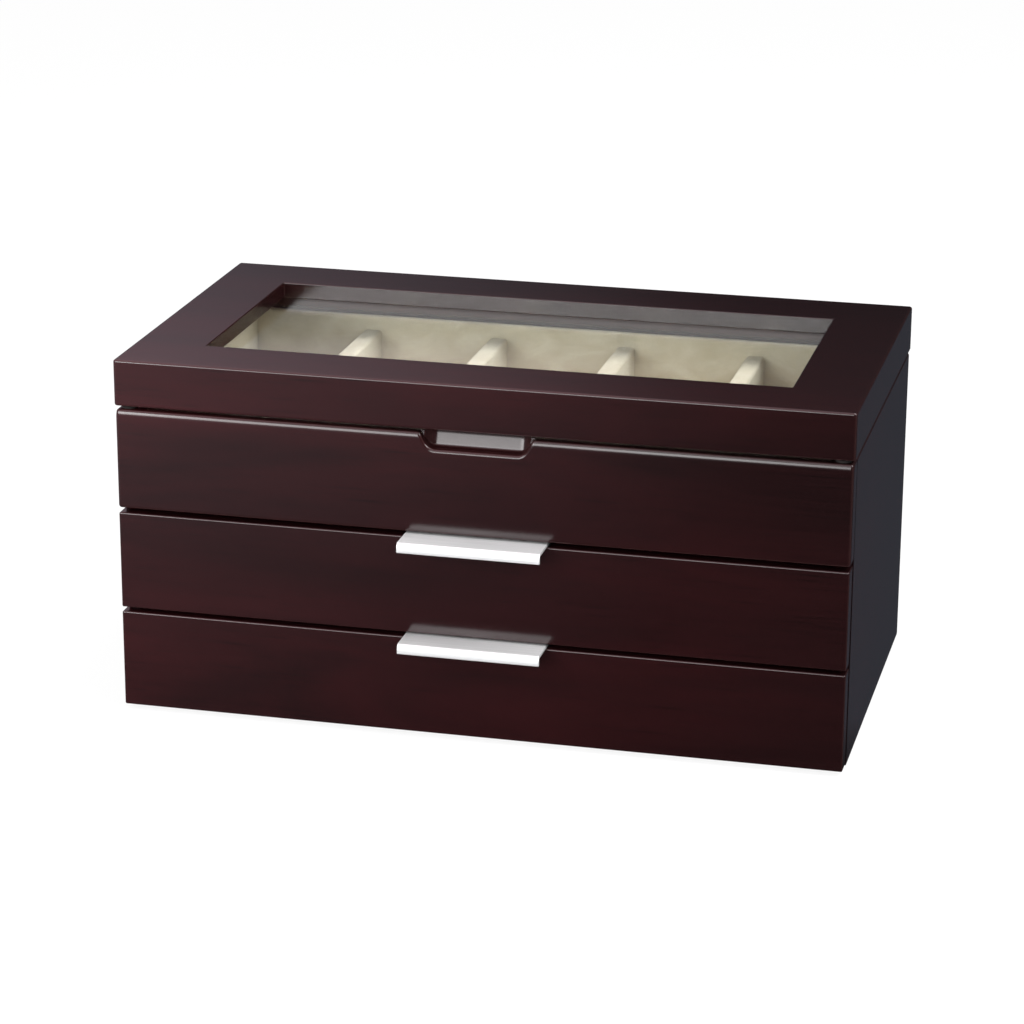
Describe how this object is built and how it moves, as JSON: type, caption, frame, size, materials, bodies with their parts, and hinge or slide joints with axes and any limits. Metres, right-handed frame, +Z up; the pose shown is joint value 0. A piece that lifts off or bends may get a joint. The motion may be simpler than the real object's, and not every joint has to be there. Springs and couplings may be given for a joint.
{
  "type": "jewellery chest",
  "caption": "Lacquered wooden jewellery chest: glass-windowed hinged lid over a divided lined tray, with lined drawers below on slim edge pulls.",
  "frame": {"origin": "centre of the footprint, on the surface that the felt base stands on", "axes": "+X to the viewer's right, +Y to the back, +Z up; the drawer fronts and pulls face -Y"},
  "size_m": [0.32, 0.1937, 0.16],
  "materials": {
    "lacquered_wood": "high-gloss dark cherry lacquer",
    "stained_wood": "satin dark stain on thin board",
    "suede": "cream suede cloth over card and thin foam",
    "felt": "dark brown felt",
    "hinge_steel": "nickel-plated steel",
    "pull_aluminium": "satin brushed, lines along its length",
    "glass": "clear float glass, faint green"
  },
  "bodies": {
    "case": {"side_panel_left": "lacquered_wood", "side_panel_right": "lacquered_wood", "back_panel": "lacquered_wood", "case_front": "lacquered_wood", "bottom_panel": "stained_wood", "drawer_shelf": "stained_wood", "tray_floor": "stained_wood", "tray_lining_floor": "suede", "tray_lining_back": "suede", "tray_lining_front": "suede", "tray_lining_left": "suede", "tray_lining_right": "suede", "tray_divider_1": "suede", "tray_divider_2": "suede", "tray_divider_3": "suede", "tray_divider_4": "suede", "felt_base": "felt", "lid_bumper_left": "felt", "lid_bumper_right": "felt", "hinge_case_leaf_left": "hinge_steel", "hinge_case_leaf_right": "hinge_steel", "hinge_pin_left": "hinge_steel", "hinge_pin_right": "hinge_steel", "hinge_case_screw_1": "hinge_steel", "hinge_case_screw_2": "hinge_steel", "hinge_case_screw_3": "hinge_steel", "hinge_case_screw_4": "hinge_steel"},
    "lid": {"lid_rail_front": "lacquered_wood", "lid_rail_right": "lacquered_wood", "lid_rail_back": "lacquered_wood", "lid_rail_left": "lacquered_wood", "glass_pane": "glass", "glass_bead_front": "stained_wood", "glass_bead_back": "stained_wood", "glass_bead_left": "stained_wood", "glass_bead_right": "stained_wood", "hinge_lid_leaf_left": "hinge_steel", "hinge_lid_leaf_right": "hinge_steel", "hinge_lid_screw_1": "hinge_steel", "hinge_lid_screw_2": "hinge_steel", "hinge_lid_screw_3": "hinge_steel", "hinge_lid_screw_4": "hinge_steel"},
    "upper_drawer": {"upper_drawer_front": "lacquered_wood", "upper_drawer_side_left": "stained_wood", "upper_drawer_side_right": "stained_wood", "upper_drawer_back": "stained_wood", "upper_drawer_bottom": "stained_wood", "upper_drawer_lining": "suede", "upper_drawer_pull_screw_1": "hinge_steel", "upper_drawer_pull_screw_2": "hinge_steel", "upper_drawer_pull": "pull_aluminium"},
    "lower_drawer": {"lower_drawer_front": "lacquered_wood", "lower_drawer_side_left": "stained_wood", "lower_drawer_side_right": "stained_wood", "lower_drawer_back": "stained_wood", "lower_drawer_bottom": "stained_wood", "lower_drawer_lining": "suede", "lower_drawer_pull_screw_1": "hinge_steel", "lower_drawer_pull_screw_2": "hinge_steel", "lower_drawer_pull": "pull_aluminium"}
  },
  "joints": [
    {"name": "lid_hinge", "type": "hinge", "parent": "case", "child": "lid", "pos_m": [0, 0.09025, 0.13875], "axis": [-1, 0, 0], "range_deg": [0, 100]},
    {"name": "upper_drawer_slide", "type": "slide", "parent": "case", "child": "upper_drawer", "axis": [0, -1, 0], "range_m": [0, 0.12]},
    {"name": "lower_drawer_slide", "type": "slide", "parent": "case", "child": "lower_drawer", "axis": [0, -1, 0], "range_m": [0, 0.12]}
  ]
}
